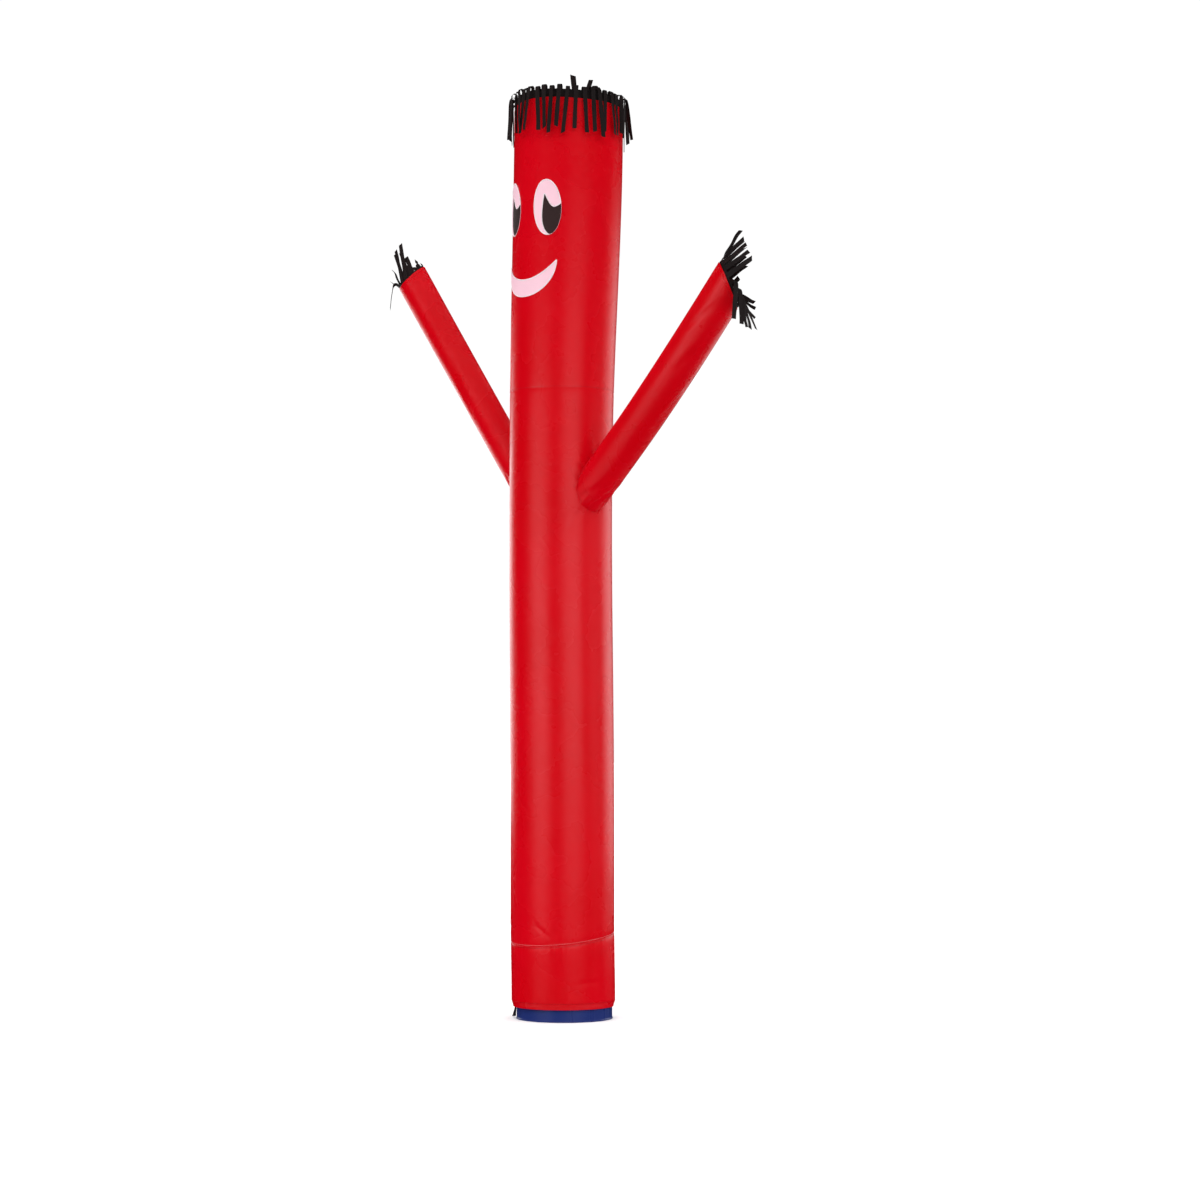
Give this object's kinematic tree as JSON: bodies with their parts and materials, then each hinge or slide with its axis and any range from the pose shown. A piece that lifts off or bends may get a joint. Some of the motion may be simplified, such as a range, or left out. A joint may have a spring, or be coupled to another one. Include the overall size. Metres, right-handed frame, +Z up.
{
  "type": "inflatable air dancer on a blower collar",
  "caption": "Tall blown-up red nylon tube figure with two open arms, black fringes and a smiling face, fitted over the outlet collar of its blower.",
  "frame": {"origin": "centre of the blower collar's foot, on the surface that the part stands on", "axes": "+Z up along the tube, the face looks along -Y, the two arms point along +X and -X"},
  "size_m": [1.6841, 0.3636, 2.8151],
  "materials": {
    "navy_plastic": "glossy moulded plastic",
    "black_webbing": "matte woven webbing",
    "red_nylon": "smooth coated ripstop nylon with a soft sheen",
    "black_nylon": "thin nylon ribbon, soft sheen",
    "white_nylon": "pinkish white sewn-on nylon",
    "pupil_nylon": "black sewn-on nylon"
  },
  "bodies": {
    "root": {"collar": "navy_plastic", "strap_tail": "black_webbing", "base_section": "red_nylon", "body_tube": "red_nylon", "arm_right": "red_nylon", "arm_left": "red_nylon", "head_fringe": "black_nylon", "arm_fringe_right": "black_nylon", "arm_fringe_left": "black_nylon", "eye_right": "white_nylon", "eye_left": "white_nylon", "pupil_right": "pupil_nylon", "pupil_left": "pupil_nylon", "mouth": "white_nylon"}
  },
  "joints": []
}
